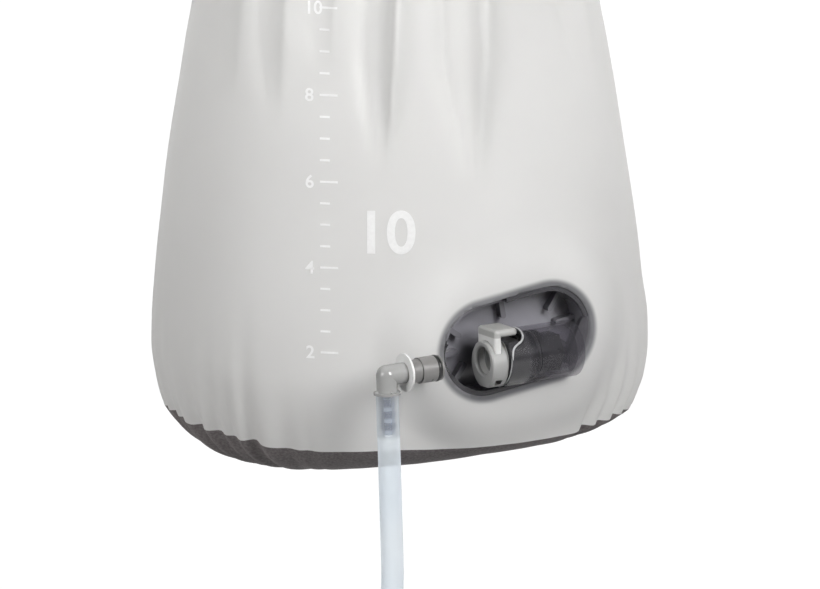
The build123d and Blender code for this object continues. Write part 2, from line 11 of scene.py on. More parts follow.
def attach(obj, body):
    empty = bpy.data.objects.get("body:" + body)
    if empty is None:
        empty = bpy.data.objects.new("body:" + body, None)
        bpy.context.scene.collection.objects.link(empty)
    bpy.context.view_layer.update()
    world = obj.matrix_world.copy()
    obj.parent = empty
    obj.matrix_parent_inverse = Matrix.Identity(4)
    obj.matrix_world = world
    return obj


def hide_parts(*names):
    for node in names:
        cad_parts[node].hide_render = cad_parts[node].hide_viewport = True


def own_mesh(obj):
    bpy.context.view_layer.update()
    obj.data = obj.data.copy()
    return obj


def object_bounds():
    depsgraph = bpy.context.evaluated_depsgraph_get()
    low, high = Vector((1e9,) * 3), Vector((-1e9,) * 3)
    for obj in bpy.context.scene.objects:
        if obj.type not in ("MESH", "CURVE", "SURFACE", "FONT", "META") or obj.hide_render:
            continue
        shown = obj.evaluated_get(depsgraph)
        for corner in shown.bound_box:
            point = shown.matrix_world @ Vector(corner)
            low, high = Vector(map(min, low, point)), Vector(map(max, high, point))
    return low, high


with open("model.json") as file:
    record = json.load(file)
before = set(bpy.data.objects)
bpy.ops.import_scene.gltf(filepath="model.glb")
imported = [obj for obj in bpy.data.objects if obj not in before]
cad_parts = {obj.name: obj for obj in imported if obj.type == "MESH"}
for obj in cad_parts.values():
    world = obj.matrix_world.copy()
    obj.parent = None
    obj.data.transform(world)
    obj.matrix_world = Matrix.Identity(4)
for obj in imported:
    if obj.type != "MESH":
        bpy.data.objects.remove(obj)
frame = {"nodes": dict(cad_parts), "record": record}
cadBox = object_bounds()
nodes = frame["nodes"]
mounts = {mount["name"]: mount for mount in frame["record"]["mounts"]}
hangHeight = 0.5425  # from the base's lowest level up to the hanging point
print("frame loaded", len(nodes), "pieces")

# camera: looks at the lower half of the hanging bag from a little above
cameraChoices = {
    "distance": 1.6,
    "elevation": 10.5,
    "aimSide": 0.0044,
    "aimLevel": 0.0641,
    "lens": 158.9,
}


def placeCamera(choice):
    rise = math.radians(choice["elevation"])
    aim = Vector((choice["aimSide"], 0, choice["aimLevel"] - hangHeight))
    data = bpy.data.cameras.new("camera")
    data.lens = choice["lens"]
    data.sensor_width = 36
    data.clip_start = 0.05
    camera = bpy.data.objects.new("camera", data)
    back = Vector((0, -math.cos(rise), math.sin(rise)))
    camera.location = aim + back * choice["distance"]
    camera.rotation_euler = (math.pi / 2 - rise, 0, 0)
    bpy.context.collection.objects.link(camera)
    bpy.context.scene.camera = camera


placeCamera(cameraChoices)

# frames of the coupler, taken from the imported socket mount, and of the port, from the numbers given below
mouthAt = Vector(mounts["coupler_socket"]["pos_m"])
mouthOut = Vector(mounts["coupler_socket"]["axis"]).normalized()
mouthStand = 0.0056  # the mouth stands this far out of the socket mount's middle
mouthAt = mouthAt + mouthOut * mouthStand
latchUp = (Vector((0, 0, 1)) - mouthOut * mouthOut.z).normalized()
couplerSide = latchUp.cross(mouthOut)


def frameMatrix(origin, xAxis, yAxis, zAxis):
    rows = Matrix((xAxis, yAxis, zAxis)).transposed().to_4x4()
    return Matrix.Translation(origin) @ rows


couplerFrame = frameMatrix(mouthAt, couplerSide, latchUp, mouthOut)
plugTravel = 0.0358  # the plug is drawn this far out of the coupler
plugFrame = couplerFrame @ Matrix.Translation((0, 0, plugTravel))

portPlace = {
    "side": 0.0494,
    "front": 0.082,
    "level": 0.0595,
    "turn": 24.0,
    "tilt": 11.0,
    "run": 0.030,
    "radius": 0.0188,
    "flange": 0.0035,
}


def portMatrix(place):
    turn, tilt = math.radians(place["turn"]), math.radians(place["tilt"])
    right = Vector((math.cos(turn), math.sin(turn), 0))
    out = Vector((math.sin(turn), -math.cos(turn), 0))
    origin = Vector((place["side"], -place["front"], place["level"] - hangHeight))
    level = frameMatrix(origin, right, Vector((0, 0, 1)), out)
    return level @ Matrix.Rotation(tilt, 4, "Z")


portFrame = portMatrix(portPlace)


# shader helpers
def startMaterial(name):
    material = bpy.data.materials.new(name)
    material.use_nodes = True
    tree = material.node_tree
    tree.nodes.clear()
    out = tree.nodes.new("ShaderNodeOutputMaterial")
    return material, tree, out


def addNode(tree, kind, **settings):
    node = tree.nodes.new("ShaderNode" + kind)
    for key, value in settings.items():
        if key in node.inputs:
            node.inputs[key].default_value = value
        else:
            setattr(node, key, value)
    return node


def objectPoint(tree):
    return addNode(tree, "TexCoord").outputs["Object"]


def noiseOf(tree, scale, detail=3.0, roughness=0.5, stretch=None):
    noise = addNode(tree, "TexNoise", Scale=scale, Detail=detail, Roughness=roughness)
    point = objectPoint(tree)
    if stretch:
        mapping = addNode(tree, "Mapping", Scale=stretch)
        tree.links.new(point, mapping.inputs["Vector"])
        point = mapping.outputs[0]
    tree.links.new(point, noise.inputs["Vector"])
    return noise.outputs["Fac"]


def mathNode(tree, operation, a, b=None, c=None, clamp=False):
    node = addNode(tree, "Math", operation=operation, use_clamp=clamp)
    for socket, value in zip(node.inputs, (a, b, c)):
        if value is None:
            continue
        if hasattr(value, "is_linked"):
            tree.links.new(value, socket)
        else:
            socket.default_value = value
    return node.outputs[0]


def rampOf(tree, fac, stops, interpolation="LINEAR"):
    ramp = addNode(tree, "ValToRGB")
    ramp.color_ramp.interpolation = interpolation
    elements = ramp.color_ramp.elements
    for i, (at, colour) in enumerate(stops):
        element = elements[i] if i < 2 else elements.new(at)
        element.position = at
        element.color = colour if len(colour) == 4 else (*colour, 1)
    tree.links.new(fac, ramp.inputs["Fac"])
    return ramp.outputs["Color"]


def bumpOf(tree, height, strength, distance):
    bump = addNode(tree, "Bump", Strength=strength, Distance=distance)
    tree.links.new(height, bump.inputs["Height"])
    return bump.outputs["Normal"]


def mouldedPlastic(name, colour, roughness, grain=0.04, specular=0.5, subsurface=0.0):
    material, tree, out = startMaterial(name)
    shader = addNode(tree, "BsdfPrincipled")
    shader.inputs["Specular IOR Level"].default_value = specular
    if subsurface:
        shader.inputs["Subsurface Weight"].default_value = subsurface
        shader.inputs["Subsurface Radius"].default_value = (0.002, 0.002, 0.002)
        shader.inputs["Subsurface Scale"].default_value = 1.0
    cloud = noiseOf(tree, 55, 4)
    dim, bright = [c * 0.93 for c in colour], [min(1, c * 1.05) for c in colour]
    tint = rampOf(tree, cloud, [(0.3, dim), (0.7, bright)])
    tree.links.new(tint, shader.inputs["Base Color"])
    rough = mathNode(tree, "MULTIPLY_ADD", noiseOf(tree, 240, 2), 0.12, roughness - 0.06, clamp=True)
    tree.links.new(rough, shader.inputs["Roughness"])
    tree.links.new(bumpOf(tree, noiseOf(tree, 1600, 2), grain, 0.0004), shader.inputs["Normal"])
    tree.links.new(shader.outputs[0], out.inputs["Surface"])
    return material


def zonePoint(tree, matrix):
    # the shaded point in the frame that matrix places in the part
    mapping = addNode(tree, "Mapping", vector_type="POINT")
    inverse = matrix.inverted()
    mapping.inputs["Location"].default_value = inverse.translation
    mapping.inputs["Rotation"].default_value = inverse.to_euler()
    tree.links.new(objectPoint(tree), mapping.inputs["Vector"])
    split = addNode(tree, "SeparateXYZ")
    tree.links.new(mapping.outputs[0], split.inputs[0])
    return split.outputs


def softStep(tree, value, low, high):
    step = addNode(tree, "MapRange", interpolation_type="SMOOTHSTEP")
    step.inputs["From Min"].default_value = low
    step.inputs["From Max"].default_value = high
    tree.links.new(value, step.inputs["Value"])
    return step.outputs[0]


def mixTint(tree, share, first, second):
    mix = addNode(tree, "Mix", data_type="RGBA")
    tree.links.new(share, mix.inputs["Factor"])
    for socket, value in ((mix.inputs[6], first), (mix.inputs[7], second)):
        if hasattr(value, "is_linked"):
            tree.links.new(value, socket)
        else:
            socket.default_value = (*value, 1)
    return mix.outputs[2]


def paint(node, material):
    thing = nodes[node]
    for slot in thing.material_slots:
        slot.material = material
    if not thing.material_slots:
        thing.data.materials.append(material)


def newObject(name, mesh, material=None):
    thing = bpy.data.objects.new(name, mesh)
    bpy.context.collection.objects.link(thing)
    if material:
        mesh.materials.append(material)
    return thing


def meshFrom(name, points, faces, smooth=True):
    mesh = bpy.data.meshes.new(name)
    mesh.from_pydata([tuple(p) for p in points], [], faces)
    mesh.update()
    if smooth:
        mesh.polygons.foreach_set("use_smooth", [True] * len(mesh.polygons))
    return mesh


def evaluatedMesh(thing):
    graph = bpy.context.evaluated_depsgraph_get()
    graph.update()
    return bpy.data.meshes.new_from_object(thing.evaluated_get(graph))


# hose: one smooth run from the elbow, down, round the coil and out to its end
hoseChoices = {
    "radius": 0.00475,
    "firstRun": 0.037,
    "steps": [(0.0018, 0.0006, -0.0656), (-0.0164, 0, -0.0303), (-0.0234, 0, -0.0234)],
    "coilRadius": 0.057,
    "coilPitch": 0.0098,
    "turns": 2.125,
    "pointsPerTurn": 16,
    "tailRun": 0.054,
}


def hoseRoute(choice):
    start = plugFrame @ Vector((0, -0.008, 0.0097))
    points = [start, start - latchUp * choice["firstRun"]]
    for step in choice["steps"]:
        points.append(points[-1] + Vector(step))
    join = points[-1]
    radius, pitch = choice["coilRadius"], choice["coilPitch"]
    centre = join + Vector((1, 0, -1)).normalized() * radius
    count = int(choice["turns"] * choice["pointsPerTurn"])
    # the curve runs inside its control polygon, so the points stand out by this much
    out = radius / math.cos(math.pi / choice["pointsPerTurn"]) * 1.002
    for i in range(1, count + 1):
        turned = i / choice["pointsPerTurn"]
        angle = math.radians(135) + turned * 2 * math.pi
        x, z = math.cos(angle) * out, math.sin(angle) * out
        points.append(centre + Vector((x, turned * pitch, z)))
    tailTop = centre + Vector((-radius, choice["turns"] * pitch, 0))
    points.append(tailTop + Vector((0, 0, -choice["tailRun"] * 0.5)))
    points.append(tailTop + Vector((0, 0, -choice["tailRun"])))
    return points, centre


def makeHose(choice):
    points, centre = hoseRoute(choice)
    curve = bpy.data.curves.new("hose", "CURVE")
    curve.dimensions = "3D"
    curve.bevel_depth = choice["radius"]
    curve.bevel_resolution = 8
    curve.resolution_u = 10
    spline = curve.splines.new("NURBS")
    spline.points.add(len(points) - 1)
    for knot, point in zip(spline.points, points):
        knot.co = (*point, 1)
    spline.order_u = 3
    spline.use_endpoint_u = True
    thing = bpy.data.objects.new("hose", curve)
    bpy.context.collection.objects.link(thing)
    return thing, points, centre


hose, hosePoints, coilCentre = makeHose(hoseChoices)


def hoseMaterial():
    material, tree, out = startMaterial("clearHose")
    shader = addNode(tree, "BsdfPrincipled", Roughness=0.22)
    milk = rampOf(tree, noiseOf(tree, 30, 2), [(0.35, (0.78, 0.83, 0.87)), (0.65, (0.88, 0.91, 0.92))])
    tree.links.new(milk, shader.inputs["Base Color"])
    through = addNode(tree, "BsdfTransparent", Color=(0.93, 0.96, 0.99, 1))
    soft = addNode(tree, "BsdfTranslucent", Color=(0.85, 0.9, 0.95, 1))
    wall = addNode(tree, "MixShader", Fac=0.35)
    tree.links.new(shader.outputs[0], wall.inputs[1])
    tree.links.new(soft.outputs[0], wall.inputs[2])
    facing = addNode(tree, "LayerWeight", Blend=0.35).outputs["Facing"]
    clearEnd = softStep(tree, zonePoint(tree, plugFrame)[1], -0.0270, -0.0245)
    base = mathNode(tree, "MULTIPLY_ADD", clearEnd, -0.26, 0.50)
    share = mathNode(tree, "MULTIPLY_ADD", facing, 0.5, base, clamp=True)
    mix = addNode(tree, "MixShader")
    tree.links.new(share, mix.inputs[0])
    tree.links.new(through.outputs[0], mix.inputs[1])
    tree.links.new(wall.outputs[0], mix.inputs[2])
    tree.links.new(mix.outputs[0], out.inputs["Surface"])
    return material


hose.data.materials.append(hoseMaterial())
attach(hose, "hose")
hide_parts("hose_lead", "hose_coil", "hose_tail")
print("hose laid")

# bag
bagChoices = {
    "seamLevel": 0.016,
    "around": 360,
    "rows": 190,
}
# level, left half width, right half width, half depth
bagOutline = [
    (0.016, 0.1046, 0.1036, 0.0880),
    (0.022, 0.1066, 0.1058, 0.0897),
    (0.030, 0.1083, 0.1082, 0.0915),
    (0.044, 0.1100, 0.1097, 0.0930),
    (0.056, 0.1097, 0.1094, 0.0930),
    (0.075, 0.1082, 0.1066, 0.0930),
    (0.089, 0.1068, 0.1050, 0.0929),
    (0.107, 0.1046, 0.1024, 0.0927),
    (0.125, 0.1024, 0.0994, 0.0924),
    (0.143, 0.0996, 0.0964, 0.0920),
    (0.161, 0.0964, 0.0934, 0.0912),
    (0.179, 0.0934, 0.0900, 0.0902),
    (0.197, 0.0900, 0.0862, 0.0888),
    (0.225, 0.0858, 0.0830, 0.0862),
    (0.255, 0.0822, 0.0806, 0.0822),
    (0.305, 0.0785, 0.0782, 0.0725),
    (0.350, 0.0763, 0.0762, 0.0550),
    (0.382, 0.0756, 0.0756, 0.0340),
    (0.402, 0.0750, 0.0750, 0.0190),
    (0.418, 0.0744, 0.0744, 0.0118),
    (0.440, 0.0734, 0.0734, 0.0092),
    (0.470, 0.0720, 0.0720, 0.0074),
    (0.510, 0.0706, 0.0706, 0.0060),
]
# the roll's middle line, where the cloth goes into it
rollPlace = {"level": 0.486, "radius": 0.0640, "sideTop": 0.016}


def smoothInterpolation(xs, ys, at):
    # monotone cubic through the points
    xs, ys, at = np.asarray(xs), np.asarray(ys), np.asarray(at)
    step, slope = np.diff(xs), np.diff(ys) / np.diff(xs)
    tangent = np.zeros_like(ys)
    tangent[1:-1] = np.where(
        slope[:-1] * slope[1:] > 0,
        2 * slope[:-1] * slope[1:] / (slope[:-1] + slope[1:] + 1e-30),
        0,
    )
    tangent[0], tangent[-1] = slope[0], slope[-1]
    i = np.clip(np.searchsorted(xs, at) - 1, 0, len(xs) - 2)
    t = (at - xs[i]) / step[i]
    h00, h10 = 2 * t**3 - 3 * t**2 + 1, t**3 - 2 * t**2 + t
    h01, h11 = -2 * t**3 + 3 * t**2, t**3 - t**2
    return h00 * ys[i] + h10 * step[i] * tangent[i] + h01 * ys[i + 1] + h11 * step[i] * tangent[i + 1]


outlineColumns = np.array(bagOutline).T


def easeStep(low, high, x):
    t = np.clip((x - low) / (high - low), 0, 1)
    return t * t * (3 - 2 * t)


# folds that the gathered top sends down the front: side and level of the pointed end, side at the
# top of the lower half, height of the ridge, its width, and how far left its crease runs
bagFolds = [
    {"end": (-0.0052, 0.128), "side": -0.0010, "height": 0.0076, "width": 0.0046, "crease": 0.0135},
    {"end": (0.0335, 0.125), "side": 0.0322, "height": 0.0092, "width": 0.0052, "crease": 0.0130},
    {"end": (-0.0500, 0.150), "side": -0.0460, "height": 0.0030, "width": 0.0080, "crease": 0.0120},
    {"end": (-0.0700, 0.156), "side": -0.0640, "height": 0.0032, "width": 0.0090, "crease": 0.0110},
    {"end": (-0.0290, 0.168), "side": -0.0260, "height": 0.0018, "width": 0.0060, "crease": 0.0100},
    {"end": (0.0850, 0.158), "side": 0.0740, "height": 0.0040, "width": 0.0070, "crease": 0.0085},
]
foldTop = 0.206


def foldLift(x, level):
    # each fold is a sharp ridge that ends in a point, with a soft hollow and a crease to its left
    lift = np.zeros_like(x)
    for fold in bagFolds:
        endSide, end = fold["end"]
        share = (level - end) / (foldTop - end)
        grow = easeStep(-0.02, 0.75, share)
        at = endSide + (fold["side"] - endSide) * share
        reach = fold["width"] * (0.30 + 0.85 * grow)
        d = (x - at) / reach
        ridge = np.where(d < 0, np.exp(-np.abs(d) * 1.9), np.exp(-np.abs(d) ** 1.7 * 0.9))
        creaseAt = at - fold["crease"] * (0.45 + 0.55 * grow)
        crease = np.exp(-np.abs((x - creaseAt) / (reach * 0.55)) ** 1.3)
        hollow = np.exp(-(((x - 0.5 * (at + creaseAt)) / (0.6 * fold["crease"])) ** 2))
        lift += fold["height"] * grow * (ridge - 0.42 * crease - 0.30 * hollow)
    return lift


# how far the front of the seam hangs below its level, by distance to the side
seamDrop = (
    [-0.105, -0.090, -0.070, -0.048, -0.020, 0.0, 0.040, 0.075, 0.090, 0.105],
    [0.0000, 0.0016, 0.0040, 0.0050, 0.0034, 0.0022, 0.0020, 0.0012, -0.0010, 0.0000],
)
tuckPlaces = {"count": 46, "width": (0.030, 0.055), "depth": 0.0040, "fade": 0.011, "scallop": 0.0015}


def seamTucks(angle, level):
    # the weld pulls tucks into the wall above the base, mostly at the sides and the back
    rise = level - bagChoices["seamLevel"]
    fade = np.exp(-np.clip(rise, 0, 1) / tuckPlaces["fade"])
    dent, drop = np.zeros_like(angle), np.zeros_like(angle)
    rng = np.random.default_rng(7)
    count = tuckPlaces["count"]
    for i in range(count):
        at = 2 * math.pi * (i + rng.uniform(-0.3, 0.3)) / count
        size = rng.uniform(0.5, 1.0)
        width = rng.uniform(*tuckPlaces["width"])
        away = np.abs((angle - at + math.pi) % (2 * math.pi) - math.pi)
        # smooth from a little left of the middle to the port's right edge
        front = math.degrees(at) - 360
        calm = 1 - 0.96 * float(easeStep(-125, -104, front) * (1 - easeStep(-50, -40, front)))
        shape = np.exp(-((away / width) ** 2)) * size * calm
        slant = np.exp(-np.clip(rise, 0, 1) / (tuckPlaces["fade"] * (0.7 + size)))
        dent -= tuckPlaces["depth"] * shape * slant
        drop += tuckPlaces["scallop"] * shape * fade
    return dent, drop


def bagPoint(angle, level):
    # angle 0 is +X, and -90 degrees is the front
    levels = outlineColumns[0]
    left = smoothInterpolation(levels, outlineColumns[1], level)
    right = smoothInterpolation(levels, outlineColumns[2], level)
    depth = smoothInterpolation(levels, outlineColumns[3], level)
    c, s = np.cos(angle), np.sin(angle)
    width = np.where(c < 0, left, right)
    # the wall grows from an ellipse to a lens towards the flat top
    x, y = width * c, depth * s
    flat = easeStep(0.30, 0.42, level)
    y = y * (1 - flat) + depth * np.sign(s) * (1 - np.abs(c) ** 2.0) ** 0.9 * flat
    normalX, normalY = c / width, s / depth
    size = np.hypot(normalX, normalY)
    normalX, normalY = normalX / size, normalY / size
    keep = 1 - easeStep(0.36, 0.42, level)
    lift = foldLift(x, level) * (s < 0) * np.abs(s) ** 0.5 * keep
    back = foldLift(-x * 0.94 + 0.006, level) * (s > 0) * np.abs(s) ** 0.5 * keep
    dent, up = seamTucks(angle, level)
    lift = lift + back + dent + neckGathers(x * np.sign(-s), level) * np.abs(s) ** 0.5
    fade = np.exp(-np.clip(level - bagChoices["seamLevel"], 0, 1) / 0.022)
    frontness = np.clip(-s, 0, 1) ** 0.6
    z = level + up - np.interp(x, *seamDrop) * fade * frontness
    return x + normalX * lift, y + normalY * lift, z


def portBlend(points):
    # the wall lies flat on the port's flange and eases back to its own curve around it
    inverse = np.array(portFrame.inverted())
    local = points @ inverse[:3, :3].T + inverse[:3, 3]
    half = portPlace["run"] / 2
    along = np.abs(local[:, 0]) - half
    reach = np.hypot(np.maximum(along, 0), local[:, 1])
    edge = portPlace["radius"] + portPlace["flange"]
    near = 1 - easeStep(edge + 0.0005, edge + 0.024, reach)
    near = near * (np.abs(local[:, 2]) < 0.04)
    local[:, 2] = local[:, 2] * (1 - near) + 0.0006 * near
    matrix = np.array(portFrame)
    return local @ matrix[:3, :3].T + matrix[:3, 3]


def rollLevel(x):
    # the cloth's upper edge follows the roll: under its lower half, then up along its sides
    side = np.abs(x)
    under = rollPlace["level"] - np.sqrt(np.clip(rollPlace["radius"] ** 2 - side**2, 0, None))
    return under + np.clip((side - rollPlace["radius"]) / 0.008, 0, 1) * rollPlace["sideTop"]


def neckGathers(x, level):
    # small gathers where the wide mouth is drawn together below the roll
    grow = easeStep(0.33, 0.43, level)
    waves = np.sin(x * 410 + 0.6) + 0.6 * np.sin(x * 265 + 2.1) + 0.4 * np.sin(x * 690 + 1.0)
    return 0.0011 * grow * waves


def makeBagBody():
    around, rows = bagChoices["around"], bagChoices["rows"]
    seam = bagChoices["seamLevel"]
    angles = np.linspace(0, 2 * math.pi, around, endpoint=False)
    tops = rollLevel(0.0728 * np.cos(angles))
    grid = []
    for share in np.linspace(0, 1, rows):
        levels = seam + (tops - seam) * (0.55 * share + 0.45 * share**2)
        x, y, z = bagPoint(angles, levels)
        grid.append(np.stack([x, y, z - hangHeight], axis=1))
    points = np.concatenate(grid)
    points = portBlend(points)
    faces = []
    for r in range(rows - 1):
        for a in range(around):
            b = (a + 1) % around
            faces.append((r * around + a, r * around + b, (r + 1) * around + b, (r + 1) * around + a))
    return points, faces, rows, around


def stadiumCutter(radius, run, low, high, turns=48):
    outline = []
    for side in (1, -1):
        for i in range(turns + 1):
            angle = -math.pi / 2 + math.pi * i / turns
            x = side * (run / 2 + radius * math.cos(angle))
            outline.append((x, side * radius * math.sin(angle)))
    count = len(outline)
    points = [(x, y, low) for x, y in outline] + [(x, y, high) for x, y in outline]
    faces = [tuple(range(count))[::-1], tuple(range(count, 2 * count))]
    faces += [(i, (i + 1) % count, count + (i + 1) % count, count + i) for i in range(count)]
    return meshFrom("cutter", points, faces, smooth=False)


def fabricMaterial():
    material, tree, out = startMaterial("frostedCloth")
    # distance from the port's outline, in the wall's own space
    point = objectPoint(tree)
    inverse = portFrame.inverted()
    mapping = addNode(tree, "Mapping", vector_type="POINT")
    euler = inverse.to_euler()
    mapping.inputs["Location"].default_value = inverse.translation
    mapping.inputs["Rotation"].default_value = euler
    tree.links.new(point, mapping.inputs["Vector"])
    split = addNode(tree, "SeparateXYZ")
    tree.links.new(mapping.outputs[0], split.inputs[0])
    absX = mathNode(tree, "ABSOLUTE", split.outputs[0])
    beyond = mathNode(tree, "MAXIMUM", mathNode(tree, "SUBTRACT", absX, portPlace["run"] / 2), 0.0)
    squareX = mathNode(tree, "MULTIPLY", beyond, beyond)
    squareY = mathNode(tree, "MULTIPLY", split.outputs[1], split.outputs[1])
    reach = mathNode(tree, "SQRT", mathNode(tree, "ADD", squareX, squareY))
    front = mathNode(tree, "GREATER_THAN", split.outputs[2], -0.03)
    behind = mathNode(tree, "MULTIPLY", mathNode(tree, "SUBTRACT", 1.0, front), 1.0)
    reach = mathNode(tree, "ADD", reach, behind)
    edge = portPlace["radius"] + portPlace["flange"]
    halo = addNode(tree, "MapRange", interpolation_type="SMOOTHSTEP")
    halo.inputs["From Min"].default_value = edge - 0.0017
    halo.inputs["From Max"].default_value = edge + 0.0011
    tree.links.new(reach, halo.inputs["Value"])
    cloud = noiseOf(tree, 9, 4)
    cloth = rampOf(tree, cloud, [(0.35, (0.715, 0.711, 0.702)), (0.65, (0.765, 0.761, 0.752))])
    mix = addNode(tree, "Mix", data_type="RGBA")
    tree.links.new(halo.outputs[0], mix.inputs["Factor"])
    mix.inputs[6].default_value = (0.25, 0.25, 0.262, 1)
    tree.links.new(cloth, mix.inputs[7])
    shader = addNode(tree, "BsdfPrincipled", Roughness=0.42)
    shader.inputs["Specular IOR Level"].default_value = 0.35
    tree.links.new(mix.outputs[2], shader.inputs["Base Color"])
    through = addNode(tree, "BsdfTranslucent")
    tree.links.new(mix.outputs[2], through.inputs["Color"])
    weave = noiseOf(tree, 1400, 3)
    normal = bumpOf(tree, weave, 0.05, 0.0003)
    tree.links.new(normal, shader.inputs["Normal"])
    both = addNode(tree, "MixShader", Fac=0.42)
    tree.links.new(shader.outputs[0], both.inputs[1])
    tree.links.new(through.outputs[0], both.inputs[2])
    tree.links.new(both.outputs[0], out.inputs["Surface"])
    return material


def baseMaterial():
    material, tree, out = startMaterial("darkWeave")
    shader = addNode(tree, "BsdfPrincipled", Roughness=0.75)
    fleck = noiseOf(tree, 900, 3)
    colour = rampOf(tree, fleck, [(0.3, (0.115, 0.100, 0.100)), (0.7, (0.200, 0.178, 0.175))])
    tree.links.new(colour, shader.inputs["Base Color"])
    tree.links.new(bumpOf(tree, fleck, 0.35, 0.0006), shader.inputs["Normal"])
    tree.links.new(shader.outputs[0], out.inputs["Surface"])
    return material


def rolledClothMaterial():
    # edges of the rolled layers show as lines that run along the roll; the dark band at each layer's edge
    # is painted shade between the turns
    material, tree, out = startMaterial("rolledCloth")
    shader = addNode(tree, "BsdfPrincipled", Roughness=0.45)
    point = addNode(tree, "SeparateXYZ")
    tree.links.new(objectPoint(tree), point.inputs[0])
    high = mathNode(tree, "SUBTRACT", point.outputs[2], rollPlace["level"] - hangHeight)
    squareX = mathNode(tree, "MULTIPLY", point.outputs[0], point.outputs[0])
    squareZ = mathNode(tree, "MULTIPLY", high, high)
    radius = mathNode(tree, "SQRT", mathNode(tree, "ADD", squareX, squareZ))
    across = mathNode(tree, "ADD", radius, mathNode(tree, "MULTIPLY", noiseOf(tree, 25, 2), 0.0012))
    layer = mathNode(tree, "FRACT", mathNode(tree, "MULTIPLY", across, 1 / 0.0021))
    edge = softStep(tree, layer, 0.0, 0.35)
    # dark band at each layer's edge: painted shade between the turns
    tint = mixTint(tree, edge, (0.42, 0.42, 0.41), (0.64, 0.64, 0.62))
    cloud = rampOf(tree, noiseOf(tree, 40, 3), [(0.3, (0.84, 0.84, 0.84)), (0.7, (1, 1, 1))])
    tone = addNode(tree, "Mix", data_type="RGBA", blend_type="MULTIPLY")
    tone.inputs["Factor"].default_value = 1.0
    tree.links.new(tint, tone.inputs[6])
    tree.links.new(cloud, tone.inputs[7])
    tree.links.new(tone.outputs[2], shader.inputs["Base Color"])
    creases = mathNode(tree, "ADD", edge, noiseOf(tree, 90, 4))
    tree.links.new(bumpOf(tree, creases, 0.5, 0.0006), shader.inputs["Normal"])
    tree.links.new(shader.outputs[0], out.inputs["Surface"])
    return material


bagCloth = fabricMaterial()
baseCloth = baseMaterial()


def cutWith(thing, cutter):
    cut = thing.modifiers.new("cut", "BOOLEAN")
    cut.operation = "DIFFERENCE"
    cut.solver = "EXACT"
    cut.object = cutter
    mesh = evaluatedMesh(thing)
    thing.modifiers.clear()
    thing.data = mesh
    bpy.data.objects.remove(cutter)
    return thing


# how far the base sags below its seam, from the left side to the right
baseSag = (
    [-0.105, -0.090, -0.066, -0.048, -0.022, 0.012, 0.040, 0.065, 0.080, 0.105],
    [0.0208, 0.0222, 0.0225, 0.0212, 0.0187, 0.0154, 0.0118, 0.0106, 0.0106, 0.0108],
)


def buildBag():
    points, faces, rows, around = makeBagBody()
    mesh = meshFrom("bagWall", points, faces)
    bag = newObject("bagWall", mesh, bagCloth)
    # the base continues below the seam and sags most left of the middle
    ring = points[:around]
    baseRows = 40
    baseGrid = [ring]
    centre = np.array([-0.012, 0.0, 0.0])
    seam = bagChoices["seamLevel"] - hangHeight
    for r in range(1, baseRows):
        shrink = 1 - 0.985 * (r / baseRows) ** 1.6
        flat = ring.copy()
        flat[:, :2] = centre[:2] + (ring[:, :2] - centre[:2]) * shrink
        sag = np.interp(ring[:, 0] * (0.5 + 0.5 * shrink), *baseSag)
        inwards = np.hypot(*(ring[:, :2] - flat[:, :2]).T)
        sunk = 1 - np.exp(-inwards / 0.0125)
        flat[:, 2] = ring[:, 2] * (1 - sunk) + (seam - sag) * sunk
        baseGrid.append(flat)
    basePoints = np.concatenate(baseGrid)
    baseFaces = []
    for r in range(baseRows - 1):
        for a in range(around):
            b = (a + 1) % around
            baseFaces.append((r * around + a, (r + 1) * around + a, (r + 1) * around + b, r * around + b))
    last = (baseRows - 1) * around
    baseFaces.append(tuple(last + a for a in range(around))[::-1])
    base = newObject("basePanel", meshFrom("basePanel", basePoints, baseFaces), baseCloth)
    cutter = newObject("cutter", stadiumCutter(portPlace["radius"] + 0.0006, portPlace["run"], -0.03, 0.03))
    cutter.data.transform(portFrame)
    cutWith(bag, cutter)
    bag.data.polygons.foreach_set("use_smooth", [True] * len(bag.data.polygons))
    return bag, base


bag, base = buildBag()
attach(bag, "bag")
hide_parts("bag_body")
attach(base, "bag")
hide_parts("base_panel")
print("bag lofted")

# finishes of the moulded pieces
def zonedPlastic(name, matrix, axis, edge, near, far, roughness=0.36, sign=1):
    # moulded plastic with one colour before the edge along an axis and another after it
    material = mouldedPlastic(name, near, roughness)
    tree = material.node_tree
    shader = next(node for node in tree.nodes if node.type == "BSDF_PRINCIPLED")
    tint = shader.inputs["Base Color"].links[0].from_socket
    value = zonePoint(tree, matrix)[axis]
    share = softStep(tree, value, edge - 0.0001, edge + 0.0001)
    if sign < 0:
        share = mathNode(tree, "SUBTRACT", 1.0, share)
    tree.links.new(mixTint(tree, share, tint, far), shader.inputs["Base Color"])
    return material


def bandBarbs(tree, start, step):
    # the barbs are painted dark as shade under the hose wall, and the thin waists between them paler,
    # painted light through the hose
    shader = next(node for node in tree.nodes if node.type == "BSDF_PRINCIPLED")
    mix = shader.inputs["Base Color"].links[0].from_node
    down = mathNode(tree, "MULTIPLY", zonePoint(tree, plugFrame)[1], -1.0)
    turns = mathNode(tree, "DIVIDE", mathNode(tree, "SUBTRACT", down, start), step)
    # painted shade on the barbs, painted light on the waists
    waist = softStep(tree, mathNode(tree, "FRACT", turns), 0.50, 0.80)
    tree.links.new(mixTint(tree, waist, (0.09, 0.105, 0.16), (0.34, 0.37, 0.43)), mix.inputs[7])


smokyChoices = {
    # floor: painted light through the tray's floor; wall and rim: painted shade
    "floor": (0.300, 0.295, 0.325),
    "wall": (0.190, 0.186, 0.206),
    "rim": (0.050, 0.048, 0.055),
    "rimDepth": 0.0015,
    "barrel": (0.100, 0.098, 0.108),
    "shroud": (0.050, 0.049, 0.053),
    "clear": (0.93, 0.92, 0.94),
    "roughness": 0.18,
}


